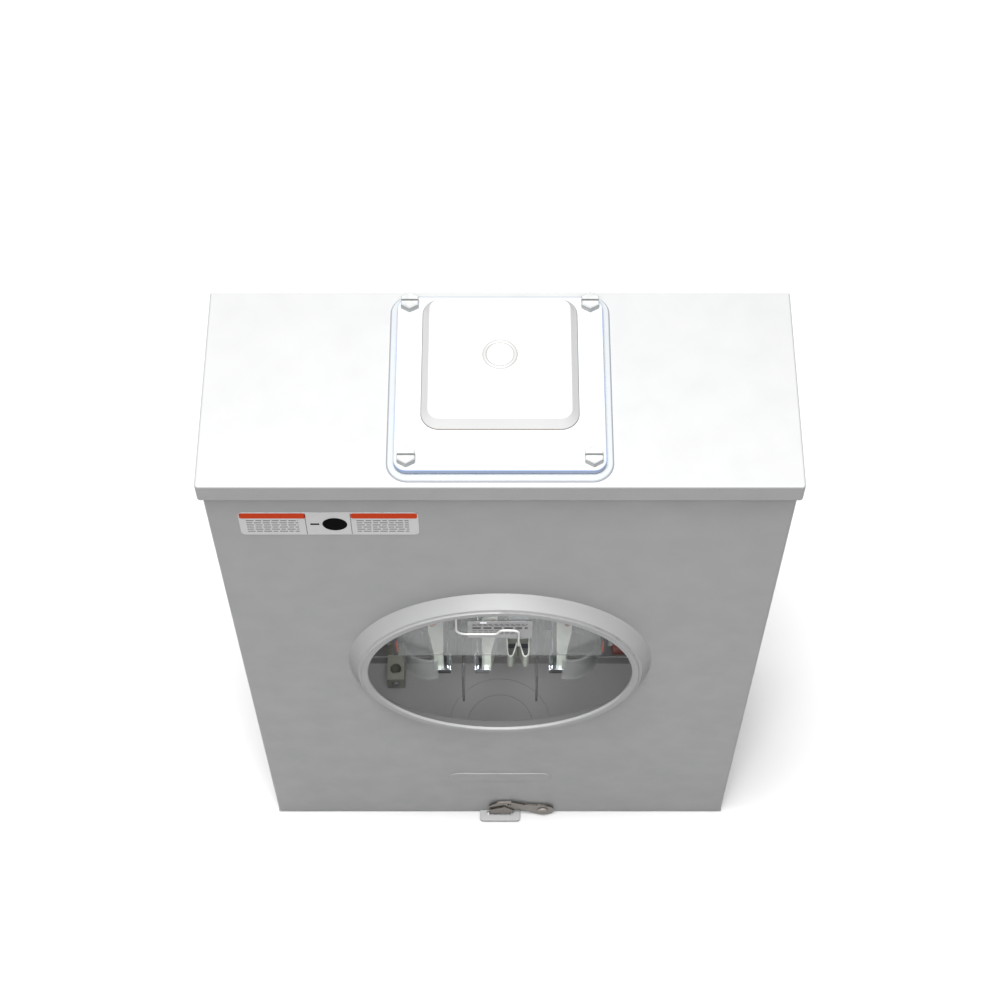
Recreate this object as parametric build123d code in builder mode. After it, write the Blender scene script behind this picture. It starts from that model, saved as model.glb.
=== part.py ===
from build123d import *
import os
from math import atan2, degrees

# Ringless meter socket enclosure, in millimetres.
# The back face lies on the wall at y = 0, the front looks along -Y, and +Z is up.
# The origin is the centre of the back face.

os.makedirs("parts", exist_ok=True)

# ---------------------------------------------------------------- driving dimensions
WIDTH = 330.2                 # over the hood
HEIGHT = 482.6
HOOD_DEPTH = 128.0            # wall to the hood's front lip
COVER_DEPTH = 123.0           # wall to the cover's face
SHEET = 1.5                   # steel sheet of the box, hood and cover
LIP = 14.0                    # height of the hood's skirt
GAP = 0.3                     # running gap between the cover and the box

TOP = HEIGHT / 2
BOTTOM = -HEIGHT / 2
FLOOR = BOTTOM + SHEET        # inside of the bottom wall
CEILING = TOP - SHEET         # inside of the hood

METER_Z = 12.1                # height of the meter's axis
OPENING_R = 83.5              # hole that the meter's glass comes through
RING_LIP_R = 87.6
RING_BASE_R = 95.8
RING_FACE = 132.4             # wall to the front of the drawn ring

COVER_HALF = 163.4
BOX_HALF = 163.5
JOGGLE_HALF = COVER_HALF - SHEET - GAP
COVER_FLANGE = 12.0
RETURN_FLANGE = 10.0

HUB_Y = -62.5                 # centre of the hub's screw square
HUB_PITCH = 101.6
HUB_BORE_R = 41.3
PAD_RISE = 1.2
GASKET = 0.8
PLATE_TOP = TOP + 5.7
PILLOW_RISE = 6.5

MOUNT_PITCH_X = 254.0         # holes in the back wall
MOUNT_PITCH_Z = 431.8
MOUNT_HOLE_R = 3.6

BRACKET_FRONT = -38.0
PEDESTAL_FRONT = -70.0
JAW_BACK = -85.0
JAW_FRONT = -103.0
JAW_RISE = 41.0               # meter axis to the middle of a jaw
JAW_HALF = 12.8               # half of a jaw's height
BLADE_GAP = 2.4               # room for a meter blade
SHAFT_Y = -70.0
SHAFT_R = 5.0
SHAFT_CLEARANCE = 0.05
BLADE_REACH = 16.5            # shaft axis to the tip of a bypass blade
BUS_END = 17.0                # shaft axis to the end of a bus strap

# blade plane of each phase, and the side that its jaw block stands on
PHASES = {"left": (-36.0, -1), "centre": (-13.0, 1), "right": (36.0, 1)}
ENDS = {"line": 1, "load": -1}
NEUTRAL_X = 11.9


def save(piece, node):
    """Label a finished sub-part and write it as its own STEP file."""
    piece.part.label = node
    export_step(piece.part, f"parts/{node}.step")


# ---------------------------------------------------------------- box: back and sides
JOGGLE_FRONT = -109.0
JOGGLE_BACK = -106.0
RETURN_FACE = -(COVER_DEPTH - SHEET - GAP)
RETURN_TOP = 222.0            # the flanges stop below the cover's pivot
KNOCKOUT_CUT = 0.2            # sheared gap round a knockout
SIDE_KNOCKOUT_R = 22.0
SIDE_KNOCKOUT = (-60.0, -185.0)
BACK_KNOCKOUT_R = 30.0
BACK_KNOCKOUT_Z = -180.0
EMBOSS = 1.0
EMBOSS_WIDTH = 4.5

with BuildPart() as box_wrapper:
    with BuildSketch(Plane.XY.offset(FLOOR)):
        with BuildLine():
            Polyline(
                (-JOGGLE_HALF + RETURN_FLANGE, RETURN_FACE),
                (-JOGGLE_HALF, RETURN_FACE),
                (-JOGGLE_HALF, JOGGLE_FRONT),
                (-BOX_HALF, JOGGLE_BACK),
                (-BOX_HALF, 0),
                (BOX_HALF, 0),
                (BOX_HALF, JOGGLE_BACK),
                (JOGGLE_HALF, JOGGLE_FRONT),
                (JOGGLE_HALF, RETURN_FACE),
                (JOGGLE_HALF - RETURN_FLANGE, RETURN_FACE),
            )
            offset(amount=SHEET, side=Side.RIGHT)
        make_face()
    extrude(amount=CEILING - FLOOR)
    # notch the front edges beside the cover's pivot
    with BuildSketch(Plane.XZ.offset(COVER_DEPTH)):
        with Locations((0, (RETURN_TOP + TOP) / 2)):
            Rectangle(2 * BOX_HALF, TOP - RETURN_TOP)
    extrude(amount=-COVER_FLANGE, mode=Mode.SUBTRACT)
    # wall mounting holes
    with BuildSketch(Plane.XZ):
        with GridLocations(MOUNT_PITCH_X, MOUNT_PITCH_Z, 2, 2):
            Circle(MOUNT_HOLE_R)
    extrude(amount=2 * SHEET, mode=Mode.SUBTRACT)
    # holes for the side knockouts
    with BuildSketch(Plane.YZ):
        with Locations(SIDE_KNOCKOUT):
            Circle(SIDE_KNOCKOUT_R + KNOCKOUT_CUT)
    extrude(amount=BOX_HALF, both=True, mode=Mode.SUBTRACT)
    # embossed ring on the back wall for a rear conduit
    with BuildSketch(Plane.XZ.offset(SHEET)):
        with Locations((0, BACK_KNOCKOUT_Z)):
            Circle(BACK_KNOCKOUT_R)
            Circle(BACK_KNOCKOUT_R - EMBOSS_WIDTH, mode=Mode.SUBTRACT)
    extrude(amount=EMBOSS)
save(box_wrapper, "box_wrapper")

with BuildPart() as side_knockouts:
    for side in (-1, 1):
        with BuildSketch(Plane.YZ.offset(side * BOX_HALF)):
            with Locations(SIDE_KNOCKOUT):
                Circle(SIDE_KNOCKOUT_R)
        extrude(amount=-side * SHEET)
save(side_knockouts, "side_knockouts")

# ---------------------------------------------------------------- bottom wall with its hasp
FLOOR_KNOCKOUTS = {           # centre (x, y), slug radius, ring radius
    "middle": ((0, -54.4), 24.6, 38.0),
    "left": ((-104, -60), 17.4, 25.0),
    "right": ((104, -60), 17.4, 25.0),
}
BOTTOM_FLANGE = 10.0
FRONT_FLANGE = 14.0
HASP_HALF = 14.8
HASP_FRONT = -131.2
HASP_CORNER = 2.5
HASP_SLOT = (19.6, 3.1)
HASP_SLOT_CORNER = 1.0
HASP_SLOT_Y = -125.25
RIVET_X = 31.5
RIVET_Z = -234.3
RIVET_NOTCH = 13.0

with BuildPart() as bottom_wall:
    with BuildSketch(Plane.XY.offset(BOTTOM)) as floor_sheet:
        with Locations((0, -COVER_DEPTH / 2)):
            Rectangle(2 * COVER_HALF, COVER_DEPTH)
        with Locations((0, (HASP_FRONT - COVER_DEPTH) / 2)):
            Rectangle(2 * HASP_HALF, -HASP_FRONT - COVER_DEPTH)
        fillet(floor_sheet.vertices().group_by(Axis.Y)[0], radius=HASP_CORNER)
        with Locations((0, HASP_SLOT_Y)):
            RectangleRounded(*HASP_SLOT, radius=HASP_SLOT_CORNER, mode=Mode.SUBTRACT)
        for place, _, ring_r in FLOOR_KNOCKOUTS.values():
            with Locations(place):
                Circle(ring_r + KNOCKOUT_CUT, mode=Mode.SUBTRACT)
    extrude(amount=SHEET)
    # upturned flanges: back, sides and the cover's seat in front
    with BuildSketch(Plane.XY.offset(FLOOR)):
        with Locations((0, -SHEET - GAP / 2 - SHEET / 2)):
            Rectangle(2 * BOX_HALF - 6 * SHEET, SHEET)
        for side in (-1, 1):
            with Locations((side * (BOX_HALF - 1.5 * SHEET - GAP / 2), (JOGGLE_BACK - 4 * SHEET) / 2)):
                Rectangle(SHEET, -JOGGLE_BACK - 6 * SHEET)
    extrude(amount=BOTTOM_FLANGE)
    with BuildSketch(Plane.XY.offset(FLOOR)):
        with Locations((0, RETURN_FACE + SHEET / 2)):
            Rectangle(2 * (JOGGLE_HALF - RETURN_FLANGE - GAP), SHEET)
        with Locations((RIVET_X, RETURN_FACE + SHEET / 2)):
            Rectangle(RIVET_NOTCH, SHEET, mode=Mode.SUBTRACT)
    extrude(amount=FRONT_FLANGE)
save(bottom_wall, "bottom_wall")

with BuildPart() as bottom_knockouts:
    with BuildSketch(Plane.XY.offset(BOTTOM)):
        for place, slug_r, ring_r in FLOOR_KNOCKOUTS.values():
            with Locations(place):
                Circle(ring_r)
                Circle(slug_r + KNOCKOUT_CUT, mode=Mode.SUBTRACT)
                Circle(slug_r)
    extrude(amount=SHEET)
save(bottom_knockouts, "bottom_knockouts")

# ---------------------------------------------------------------- hood
PAD_SIZE = (123.8, 123.0)
PAD_Y = -63.6
PAD_CORNER = 12.0
PAD_TAPER = 35
HOOD_CORNER = 2.0
HOOD_BEND = 1.2
HUB_SCREW_HOLE_R = 3.4

with BuildPart() as top_hood:
    with BuildSketch(Plane.XY.offset(TOP - LIP)):
        with Locations((0, -HOOD_DEPTH / 2)):
            Rectangle(WIDTH, HOOD_DEPTH)
    extrude(amount=LIP)
    front_corners = top_hood.edges().filter_by(Axis.Z).group_by(Axis.Y)[0]
    fillet(front_corners, radius=HOOD_CORNER)
    with BuildSketch(Plane.XY.offset(TOP - LIP)):
        with Locations((0, (-HOOD_DEPTH + SHEET) / 2)):
            Rectangle(WIDTH - 2 * SHEET, HOOD_DEPTH - SHEET)
    extrude(amount=LIP - SHEET, mode=Mode.SUBTRACT)
    outer_bends = top_hood.faces().sort_by(Axis.Z)[-1].edges().sort_by(Axis.Y)[:-1]
    fillet(outer_bends, radius=HOOD_BEND)
    # raised pad that the hub plate sits on
    with BuildSketch(Plane.XY.offset(TOP)):
        with Locations((0, PAD_Y)):
            RectangleRounded(*PAD_SIZE, radius=PAD_CORNER)
    extrude(amount=PAD_RISE, taper=PAD_TAPER)
    with BuildSketch(Plane.XY.offset(CEILING)):
        with Locations((0, PAD_Y)):
            RectangleRounded(PAD_SIZE[0] - 4 * SHEET, PAD_SIZE[1] - 4 * SHEET, radius=PAD_CORNER - 2 * SHEET)
    extrude(amount=PAD_RISE, mode=Mode.SUBTRACT)
    with BuildSketch(Plane.XY.offset(CEILING)):
        with Locations((0, HUB_Y)):
            Circle(HUB_BORE_R)
            with GridLocations(HUB_PITCH, HUB_PITCH, 2, 2):
                Circle(HUB_SCREW_HOLE_R)
    extrude(amount=LIP, mode=Mode.SUBTRACT)
save(top_hood, "top_hood")

# ---------------------------------------------------------------- hub closing plate
PLATE_SIZE = (115.4, 113.8)
PLATE_Y = -63.7
PLATE_CORNER = 7.0
PLATE_EDGE = 0.8
GASKET_INSET = 1.0
PILLOW_SIZE = 87.2
PILLOW_Y = -51.8
PILLOW_INSET = 4.5
PILLOW_CORNER = 10.5
PILLOW_EDGE = 1.2
PLATE_WALL = 2.2
BOSS_Y = -50.0
BOSS_R = 8.6
BOSS_WIRE_R = 1.4
PAD_TOP = TOP + PAD_RISE
PLATE_BOTTOM = PAD_TOP + GASKET
PILLOW_TAPER = degrees(atan2(PILLOW_INSET, PILLOW_RISE))

with BuildPart() as hub_gasket:
    with BuildSketch(Plane.XY.offset(PAD_TOP)):
        with Locations((0, PLATE_Y)):
            RectangleRounded(
                PLATE_SIZE[0] - 2 * GASKET_INSET,
                PLATE_SIZE[1] - 2 * GASKET_INSET,
                radius=PLATE_CORNER - GASKET_INSET,
            )
        with Locations((0, HUB_Y)):
            Circle(HUB_BORE_R, mode=Mode.SUBTRACT)
            with GridLocations(HUB_PITCH, HUB_PITCH, 2, 2):
                Circle(HUB_SCREW_HOLE_R, mode=Mode.SUBTRACT)
    extrude(amount=GASKET)
save(hub_gasket, "hub_gasket")

with BuildPart() as hub_closing_plate:
    with BuildSketch(Plane.XY.offset(PLATE_BOTTOM)):
        with Locations((0, PLATE_Y)):
            RectangleRounded(*PLATE_SIZE, radius=PLATE_CORNER)
    extrude(amount=PLATE_TOP - PLATE_BOTTOM)
    fillet(hub_closing_plate.faces().sort_by(Axis.Z)[-1].edges(), radius=PLATE_EDGE)
    with BuildSketch(Plane.XY.offset(PLATE_TOP)):
        with Locations((0, PILLOW_Y)):
            RectangleRounded(PILLOW_SIZE, PILLOW_SIZE, radius=PILLOW_CORNER)
    extrude(amount=PILLOW_RISE, taper=PILLOW_TAPER)
    fillet(hub_closing_plate.faces().sort_by(Axis.Z)[-1].edges(), radius=PILLOW_EDGE)
    # hollow under the pillow
    with BuildSketch(Plane.XY.offset(PLATE_BOTTOM)):
        with Locations((0, PILLOW_Y)):
            cavity = PILLOW_SIZE - 2 * PILLOW_INSET - 2 * PLATE_WALL
            RectangleRounded(cavity, cavity, radius=PILLOW_CORNER - PILLOW_INSET)
    extrude(amount=PLATE_TOP + PILLOW_RISE - PLATE_WALL - PLATE_BOTTOM, mode=Mode.SUBTRACT)
    # rolled ring round the test hole's blank
    with Locations((0, BOSS_Y, PLATE_TOP + PILLOW_RISE - BOSS_WIRE_R / 3)):
        Torus(BOSS_R, BOSS_WIRE_R)
    with BuildSketch(Plane.XY.offset(PLATE_BOTTOM)):
        with Locations((0, HUB_Y)):
            with GridLocations(HUB_PITCH, HUB_PITCH, 2, 2):
                Circle(HUB_SCREW_HOLE_R)
    extrude(amount=LIP, mode=Mode.SUBTRACT)
save(hub_closing_plate, "hub_closing_plate")

HEX_FLATS = 9.8
HEX_HEAD = 4.4
HEX_TURN = 30
HEX_CHAMFER = 0.5
SCREW_SLOT = 1.3
SCREW_R = 3.1
SCREW_LENGTH = 16.0

with BuildPart() as hub_screws:
    with BuildSketch(Plane.XY.offset(PLATE_TOP)):
        with Locations((0, HUB_Y)):
            with GridLocations(HUB_PITCH, HUB_PITCH, 2, 2):
                RegularPolygon(HEX_FLATS / 2, 6, major_radius=False, rotation=HEX_TURN)
    extrude(amount=HEX_HEAD)
    chamfer(hub_screws.faces().group_by(Axis.Z)[-1].edges(), length=HEX_CHAMFER)
    with BuildSketch(Plane.XY.offset(PLATE_TOP + HEX_HEAD)):
        with Locations((0, HUB_Y)):
            with GridLocations(HUB_PITCH, HUB_PITCH, 2, 2):
                Rectangle(2 * HEX_FLATS, SCREW_SLOT)
    extrude(amount=-HEX_HEAD / 3, mode=Mode.SUBTRACT)
    with BuildSketch(Plane.XY.offset(PLATE_TOP)):
        with Locations((0, HUB_Y)):
            with GridLocations(HUB_PITCH, HUB_PITCH, 2, 2):
                Circle(SCREW_R)
    extrude(amount=-SCREW_LENGTH)
save(hub_screws, "hub_screws")

# ---------------------------------------------------------------- front cover
COVER_BOTTOM = FLOOR + 0.4
COVER_TOP = TOP - 4.3
BEND_R = 2.0
BADGE_SIZE = (73.0, 13.0)
BADGE_Z = -175.0
BADGE_RISE = 0.7
BADGE_TAPER = 30
RIVET_R = 2.0
RING_EDGE = 2.0               # inward turn of the ring's inner edge
EDGE_BREAK = 0.5
BEAD_R = RING_LIP_R + 1.7     # rolled corner between the ring's lip and its cone
BEAD_DEPTH = 1.2
GROOVE_R = BEAD_R + 0.5
GROOVE_DEPTH = 1.4
FLANGE_TOP = 228.0            # the side flanges stop below the pivot
RING_AXIS = Axis((0, 0, METER_Z), (0, 1, 0))

with BuildPart() as front_cover:
    with BuildSketch(Plane.XY.offset(COVER_BOTTOM)):
        with BuildLine():
            FilletPolyline(
                (-COVER_HALF, -COVER_DEPTH + COVER_FLANGE),
                (-COVER_HALF, -COVER_DEPTH),
                (COVER_HALF, -COVER_DEPTH),
                (COVER_HALF, -COVER_DEPTH + COVER_FLANGE),
                radius=BEND_R,
            )
            offset(amount=SHEET, side=Side.LEFT)
        make_face()
    extrude(amount=COVER_TOP - COVER_BOTTOM)
    with BuildSketch(Plane.XZ.offset(COVER_DEPTH - BEND_R)):
        with Locations((0, (FLANGE_TOP + TOP) / 2)):
            Rectangle(2 * COVER_HALF, TOP - FLANGE_TOP)
    extrude(amount=-COVER_FLANGE, mode=Mode.SUBTRACT)
    with BuildSketch(Plane.XZ.offset(COVER_DEPTH - 2 * SHEET)):
        with Locations((0, METER_Z)):
            Circle(RING_BASE_R)
        with Locations((RIVET_X, RIVET_Z)):
            Circle(RIVET_R + SHAFT_CLEARANCE)
    extrude(amount=4 * SHEET, mode=Mode.SUBTRACT)
    # drawn ring: cone, bead, flat lip and turned-in edge
    with BuildSketch(Plane.XY.offset(METER_Z)):
        with BuildLine():
            Polyline(
                (GROOVE_R, -RING_FACE + GROOVE_DEPTH),
                (RING_BASE_R, -COVER_DEPTH),
                (RING_BASE_R, -COVER_DEPTH + SHEET),
                (RING_BASE_R - 4 * SHEET / 3, -COVER_DEPTH + SHEET),
                (RING_LIP_R, -RING_FACE + SHEET),
                (OPENING_R + SHEET, -RING_FACE + SHEET),
                (OPENING_R + SHEET, -RING_FACE + RING_EDGE),
                (OPENING_R, -RING_FACE + RING_EDGE),
                (OPENING_R, -RING_FACE + EDGE_BREAK),
                (OPENING_R + EDGE_BREAK, -RING_FACE),
                (RING_LIP_R, -RING_FACE),
            )
            RadiusArc((RING_LIP_R, -RING_FACE), (BEAD_R, -RING_FACE + BEAD_DEPTH), radius=BEAD_R - RING_LIP_R)
            Line((BEAD_R, -RING_FACE + BEAD_DEPTH), (GROOVE_R, -RING_FACE + GROOVE_DEPTH))
        make_face()
    revolve(axis=RING_AXIS)
    # plain raised panel below the opening
    with BuildSketch(Plane.XZ.offset(COVER_DEPTH)):
        with Locations((0, BADGE_Z)):
            SlotOverall(*BADGE_SIZE)
    extrude(amount=BADGE_RISE, taper=BADGE_TAPER)
save(front_cover, "front_cover")

LABEL_SIZE = (100.4, 24.8)
LABEL_CENTRE = (-95.7, 192.8)
LABEL_CORNER = 3.0
FILM_THICK = 0.25

with BuildPart() as cover_label:
    with BuildSketch(Plane.XZ.offset(COVER_DEPTH)):
        with Locations(LABEL_CENTRE):
            RectangleRounded(*LABEL_SIZE, radius=LABEL_CORNER)
    extrude(amount=FILM_THICK)
save(cover_label, "cover_label")

# ---------------------------------------------------------------- sealing latch and its rivet
LATCH_BACK = COVER_DEPTH + 1.0
LATCH_THICK = 1.2
LATCH_END_R = 8.2
TONGUE_HALF = 8.0
TONGUE_BOTTOM = FLOOR + GAP
TONGUE_BACK = LATCH_BACK + 0.6
TONGUE_THICK = 1.7
SEAL_HOLE_R = 1.5
SEAL_HOLE_AT = (6.9, -223.4)
LATCH_CORNER = 2.2
LATCH_EDGE = 0.45
LATCH_OUTLINE = [             # from the rivet over the shoulder, and back along the lower edge
    (RIVET_X, RIVET_Z + LATCH_END_R),
    (18.5, -224.2),
    (8.0, -219.4),
    (-2.5, -220.4),
    (-TONGUE_HALF, -226.4),
    (-TONGUE_HALF, -232.6),
    (16.3, -232.6),
    (RIVET_X - 5.5, RIVET_Z - 6.1),
    (RIVET_X, RIVET_Z),
]
TONGUE_OUTLINE = [            # a tab with a slanting top
    (-TONGUE_HALF, TONGUE_BOTTOM),
    (TONGUE_HALF, TONGUE_BOTTOM),
    (TONGUE_HALF + 2.2, -233.4),
    (3.0, -225.6),
    (-TONGUE_HALF + 0.6, -230.8),
]

with BuildPart() as sealing_latch:
    with BuildSketch(Plane.XZ.offset(LATCH_BACK)) as latch_outline:
        with BuildLine():
            Polyline(*LATCH_OUTLINE, close=True)
        make_face()
        fillet(latch_outline.vertices().sort_by(Axis.X)[:4], radius=LATCH_CORNER)
        with Locations((RIVET_X, RIVET_Z)):
            Circle(LATCH_END_R)
            Circle(RIVET_R + SHAFT_CLEARANCE, mode=Mode.SUBTRACT)
        with Locations(SEAL_HOLE_AT):
            Circle(SEAL_HOLE_R, mode=Mode.SUBTRACT)
    extrude(amount=LATCH_THICK)
    # tongue over the hasp's slot
    with BuildSketch(Plane.XZ.offset(TONGUE_BACK)):
        with BuildLine():
            Polyline(*TONGUE_OUTLINE, close=True)
        make_face()
    extrude(amount=TONGUE_THICK)
    front_edges = sealing_latch.faces().sort_by(Axis.Y)[0].edges()
    chamfer(front_edges, length=LATCH_EDGE)
save(sealing_latch, "sealing_latch")

RIVET_HEAD_R = 3.9
RIVET_HEAD = 1.6
RIVET_TAIL = 1.0
RIVET_TAIL_R = 3.2
RIVET_DOME = 1.3

with BuildPart() as latch_rivet:
    for radius, near, far in (
        (RIVET_TAIL_R, COVER_DEPTH - SHEET - RIVET_TAIL, COVER_DEPTH - SHEET),
        (RIVET_R, COVER_DEPTH - SHEET, LATCH_BACK + LATCH_THICK + SHAFT_CLEARANCE),
        (RIVET_HEAD_R, COVER_DEPTH, LATCH_BACK - SHAFT_CLEARANCE),
        (RIVET_HEAD_R, LATCH_BACK + LATCH_THICK + SHAFT_CLEARANCE, LATCH_BACK + LATCH_THICK + RIVET_HEAD),
    ):
        with BuildSketch(Plane.XZ.offset(near)):
            with Locations((RIVET_X, RIVET_Z)):
                Circle(radius)
        extrude(amount=far - near)
    fillet(latch_rivet.faces().sort_by(Axis.Y)[0].edges(), radius=RIVET_DOME)
save(latch_rivet, "latch_rivet")

# ---------------------------------------------------------------- mounting bracket
BRACKET_HALF = 78.0
BRACKET_RISE = 62.0
BRACKET_FLANGE = 14.0
FLANGE_SCREW_X = 60.0
FLANGE_SCREW_Z = BRACKET_RISE + BRACKET_FLANGE / 2
BLOCK_SCREW_Z = 14.0
BLOCK_OFFSET = 5.5            # blade plane to the middle of its block
SCREW_HEAD_R = 4.0
SCREW_HEAD = 2.0
SHANK_R = 2.4
SHANK_HOLE_R = 2.5


def block_x(blade_x, side):
    """Middle of a phase block, which stands to one side of the blade plane."""
    return blade_x + side * BLOCK_OFFSET


BLOCK_SCREW_PLACES = [
    (block_x(blade_x, side), METER_Z + end * BLOCK_SCREW_Z)
    for blade_x, side in PHASES.values()
    for end in ENDS.values()
]
FLANGE_SCREW_PLACES = [
    (side * FLANGE_SCREW_X, METER_Z + end * FLANGE_SCREW_Z)
    for side in (-1, 1)
    for end in ENDS.values()
]

with BuildPart() as mounting_bracket:
    with BuildSketch(Plane.YZ.offset(-BRACKET_HALF)):
        with BuildLine():
            Polyline(
                (-SHEET, METER_Z - BRACKET_RISE - BRACKET_FLANGE),
                (-SHEET, METER_Z - BRACKET_RISE),
                (BRACKET_FRONT + SHEET, METER_Z - BRACKET_RISE),
                (BRACKET_FRONT + SHEET, METER_Z + BRACKET_RISE),
                (-SHEET, METER_Z + BRACKET_RISE),
                (-SHEET, METER_Z + BRACKET_RISE + BRACKET_FLANGE),
            )
            offset(amount=SHEET, side=Side.LEFT)
        make_face()
    extrude(amount=2 * BRACKET_HALF)
    with BuildSketch(Plane.XZ):
        with Locations(*BLOCK_SCREW_PLACES, *FLANGE_SCREW_PLACES):
            Circle(SHANK_HOLE_R)
    extrude(amount=-BRACKET_FRONT + SHEET, mode=Mode.SUBTRACT)
save(mounting_bracket, "mounting_bracket")

# ---------------------------------------------------------------- insulating blocks
BLOCK_HALF = 11.5
BLOCK_HEIGHT = 62.0           # meter axis to a block's end
BLOCK_BASE = 14.0             # depth of the web between the pedestals
PEDESTAL_HEIGHT = 40.0
MOULD_R = 1.5

for phase, (blade_x, side) in PHASES.items():
    middle = block_x(blade_x, side)
    with BuildPart() as insulator:
        with BuildSketch(Plane.XZ.offset(-BRACKET_FRONT)):
            with Locations((middle, METER_Z)):
                Rectangle(2 * BLOCK_HALF, 2 * BLOCK_HEIGHT)
        extrude(amount=BLOCK_BASE)
        with BuildSketch(Plane.XZ.offset(-BRACKET_FRONT + BLOCK_BASE)):
            for end in ENDS.values():
                with Locations((middle, METER_Z + end * (BLOCK_HEIGHT - PEDESTAL_HEIGHT / 2))):
                    Rectangle(2 * BLOCK_HALF, PEDESTAL_HEIGHT)
        extrude(amount=BRACKET_FRONT - BLOCK_BASE - PEDESTAL_FRONT)
        fillet(insulator.edges().filter_by(Axis.Y), radius=MOULD_R)
        with BuildSketch(Plane.XZ.offset(-BRACKET_FRONT)):
            with Locations(*BLOCK_SCREW_PLACES):
                Circle(SHANK_HOLE_R)
        extrude(amount=BLOCK_BASE, mode=Mode.SUBTRACT)
    save(insulator, f"insulator_{phase}")

NEUTRAL_POST = (14.0, 36.0)
NEUTRAL_POST_Z = -29.0
NEUTRAL_POST_FRONT = -84.0

with BuildPart() as neutral_insulator:
    with BuildSketch(Plane.XZ.offset(-BRACKET_FRONT)):
        with Locations((NEUTRAL_X, NEUTRAL_POST_Z)):
            Rectangle(*NEUTRAL_POST)
    extrude(amount=BRACKET_FRONT - NEUTRAL_POST_FRONT)
    fillet(neutral_insulator.edges().filter_by(Axis.Y), radius=MOULD_R)
save(neutral_insulator, "neutral_insulator")

with BuildPart() as mounting_screws:
    with BuildSketch(Plane.XZ.offset(-BRACKET_FRONT + BLOCK_BASE)):
        with Locations(*BLOCK_SCREW_PLACES):
            Circle(SCREW_HEAD_R)
    extrude(amount=SCREW_HEAD)
    with BuildSketch(Plane.XZ.offset(-BRACKET_FRONT + BLOCK_BASE)):
        with Locations(*BLOCK_SCREW_PLACES):
            Circle(SHANK_R)
    extrude(amount=-BLOCK_BASE - 2 * SHEET)
    with BuildSketch(Plane.XZ.offset(2 * SHEET)):
        with Locations(*FLANGE_SCREW_PLACES):
            Circle(SCREW_HEAD_R)
    extrude(amount=SCREW_HEAD)
    with BuildSketch(Plane.XZ.offset(2 * SHEET)):
        with Locations(*FLANGE_SCREW_PLACES):
            Circle(SHANK_R)
    extrude(amount=-SHEET)
save(mounting_screws, "mounting_screws")

# ---------------------------------------------------------------- jaws, springs, lugs
STRAP_THICK = 3.0
STRAP_END = 92.0              # meter axis to the lug end of a strap
STRAP_INNER = 6.0             # strap's reach on the spring's side of the blade plane
JAW_OUTER_BACK = 11.4
JAW_OUTER_FRONT = 7.1
ENTRY = 1.6                   # bevel that leads a blade in
LEAF = 1.0                    # spring sheet
LEAF_HALF = 11.0
LEAF_FLARE = 2.0
SHELF = 0.8                   # thin shelf round the jaw's outer end
SHELF_GAP = 0.2
SHELF_BACK = -90.0
SHELF_FRONT = JAW_FRONT - 1.4
SHELF_WIDTH = 9.2
SHELF_SHIFT = 1.2             # blade plane to the middle of the shelf
LIP_RISE = 4.6
LEAF_FRONT = JAW_FRONT + 3.0  # where the spring's leaf starts to flare
LUG_NEAR = 66.0
LUG_BACK = -45.0
LUG_WIRE_R = 8.0
LUG_WIRE_Y = -57.0
LUG_CHAMFER = 3.0
SET_SCREW_R = 5.0
SET_SCREW_TIP = -63.0
SET_SCREW_FACE = -77.0
SET_SCREW_GAP = 0.1
SOCKET_R = 2.8
SOCKET_DEPTH = 4.0
JAW_SCREW_R = 2.4
JAW_SCREW_HEAD = 1.4
JAW_SCREW_OFFSET = 8.6
JAW_SCREW_Y = -81.0
STRAP_FRONT = PEDESTAL_FRONT - STRAP_THICK

SET_SCREW_PLACES = [
    (block_x(blade_x, side), METER_Z + end * (LUG_NEAR + STRAP_END) / 2)
    for blade_x, side in PHASES.values()
    for end in ENDS.values()
]

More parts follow.
